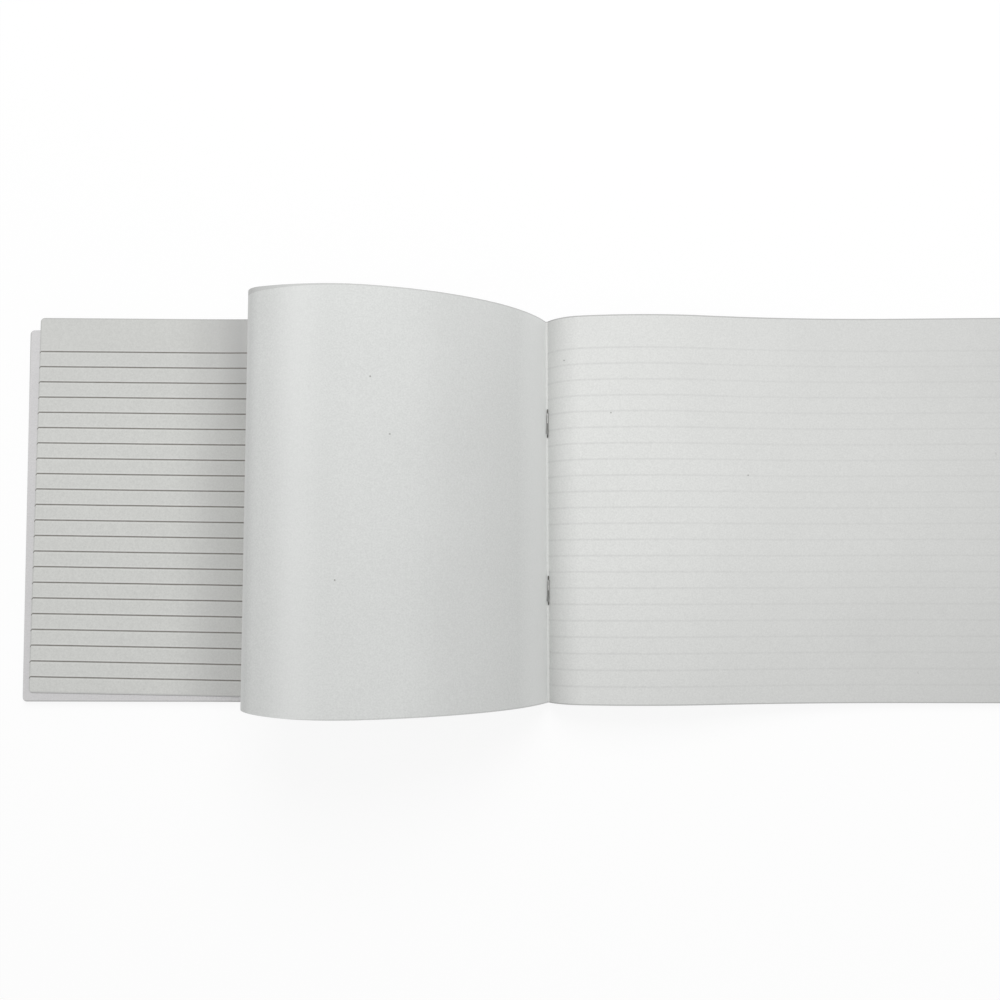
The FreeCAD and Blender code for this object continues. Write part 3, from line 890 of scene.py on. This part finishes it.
def add_lamp(stage):
    """Broad lamp at the head end, on the left."""
    data = bpy.data.lights.new("broad_lamp", "AREA")
    data.shape = "SQUARE"
    data.size = stage.lamp_size
    data.energy = stage.lamp_power
    lamp = bpy.data.objects.new("broad_lamp", data)
    lamp.location = LAMP_PLACE
    lamp.rotation_euler = (Vector(LAMP_PLACE) - LAMP_AIM).to_track_quat("Z", "Y").to_euler()
    bpy.context.scene.collection.objects.link(lamp)


def floor_finish():
    """Matt white floor that the lens sees as bright paper round the shadow."""
    finish = Finish("floor_white", (0.9, 0.9, 0.9), 0.95)
    path = finish.nodes.new("ShaderNodeLightPath")
    rays = [Socket(finish, path.outputs[name + " Ray"])
            for name in ("Is Camera", "Is Glossy", "Is Transmission")]
    seen = rays[0].either(rays[1]).either(rays[2])
    glow = finish.nodes.new("ShaderNodeEmission")
    glow.inputs["Strength"].default_value = 1.0
    blend = finish.nodes.new("ShaderNodeMixShader")
    finish.feed(blend.inputs[0], seen * FLOOR_GLOW)
    finish.links.new(finish.shader.outputs[0], blend.inputs[1])
    finish.links.new(glow.outputs[0], blend.inputs[2])
    finish.links.new(blend.outputs[0], finish.nodes["Material Output"].inputs["Surface"])
    return finish


def add_camera(height):
    """Camera almost straight above the fold, leaning a little toward the tail."""
    data = bpy.data.cameras.new("camera")
    camera = bpy.data.objects.new("camera", data)
    bpy.context.scene.collection.objects.link(camera)
    data.sensor_fit = "HORIZONTAL"
    data.sensor_width = SENSOR
    data.lens = SENSOR * CAMERA["focal_px"] / IMAGE_WIDTH
    data.clip_start, data.clip_end = 0.01, 20.0
    turn = (
        Matrix.Rotation(CAMERA["roll"], 4, "Z")
        @ Matrix.Rotation(CAMERA["tilt_x"], 4, "X")
        @ Matrix.Rotation(CAMERA["tilt_y"], 4, "Y")
    )
    camera.matrix_world = Matrix.Translation((CAMERA["x"], CAMERA["y"], height)) @ turn.inverted()
    bpy.context.scene.camera = camera


class NOTEBOOK_OT_stage(bpy.types.Operator):
    """Add the pale floor, the lamp and the camera"""

    bl_idname = "notebook.stage"
    bl_label = "Stage"

    def execute(self, context):
        stage = context.scene.notebook_stage
        mesh = bpy.data.meshes.new("floor")
        shape = bmesh.new()
        bmesh.ops.create_grid(shape, x_segments=1, y_segments=1, size=FLOOR_HALF)
        shape.to_mesh(mesh)
        shape.free()
        floor = bpy.data.objects.new("floor", mesh)
        context.scene.collection.objects.link(floor)
        floor.data.materials.append(floor_finish().material)
        add_lamp(stage)
        world = bpy.data.worlds.new("plain_light")
        world.use_nodes = True
        world.node_tree.nodes["Background"].inputs[0].default_value = (1.0, 1.0, 1.0, 1.0)
        world.node_tree.nodes["Background"].inputs[1].default_value = stage.world_level
        context.scene.world = world
        add_camera(stage.camera_height)
        context.scene.view_settings.view_transform = "Standard"
        return {"FINISHED"}


class NOTEBOOK_PT_panel(bpy.types.Panel):
    """Buttons that add the notebook's pieces"""

    bl_idname = "NOTEBOOK_PT_panel"
    bl_label = "Notebook"
    bl_space_type = "VIEW_3D"
    bl_region_type = "UI"
    bl_category = "Notebook"

    def draw(self, context):
        for operator in OPERATORS:
            self.layout.operator(operator.bl_idname)


GROUPS = {
    "notebook_form": NotebookForm,
    "notebook_paper": NotebookPaper,
    "notebook_card": NotebookCard,
    "notebook_stage": NotebookStage,
}
OPERATORS = (
    NOTEBOOK_OT_leaf_stacks,
    NOTEBOOK_OT_right_leaf,
    NOTEBOOK_OT_ruled_leaf,
    NOTEBOOK_OT_curled_leaf,
    NOTEBOOK_OT_covers,
    NOTEBOOK_OT_staples,
    NOTEBOOK_OT_stage,
)


def register():
    for name, group in GROUPS.items():
        bpy.utils.register_class(group)
        setattr(bpy.types.Scene, name, bpy.props.PointerProperty(type=group))
    for item in (*OPERATORS, NOTEBOOK_PT_panel):
        bpy.utils.register_class(item)


def unregister():
    for item in reversed((*OPERATORS, NOTEBOOK_PT_panel)):
        bpy.utils.unregister_class(item)
    for name, group in reversed(list(GROUPS.items())):
        delattr(bpy.types.Scene, name)
        bpy.utils.unregister_class(group)


def main():
    register()
    for operator in OPERATORS:
        group, name = operator.bl_idname.split(".")
        getattr(getattr(bpy.ops, group), name)()


if __name__ == "__main__":
    main()
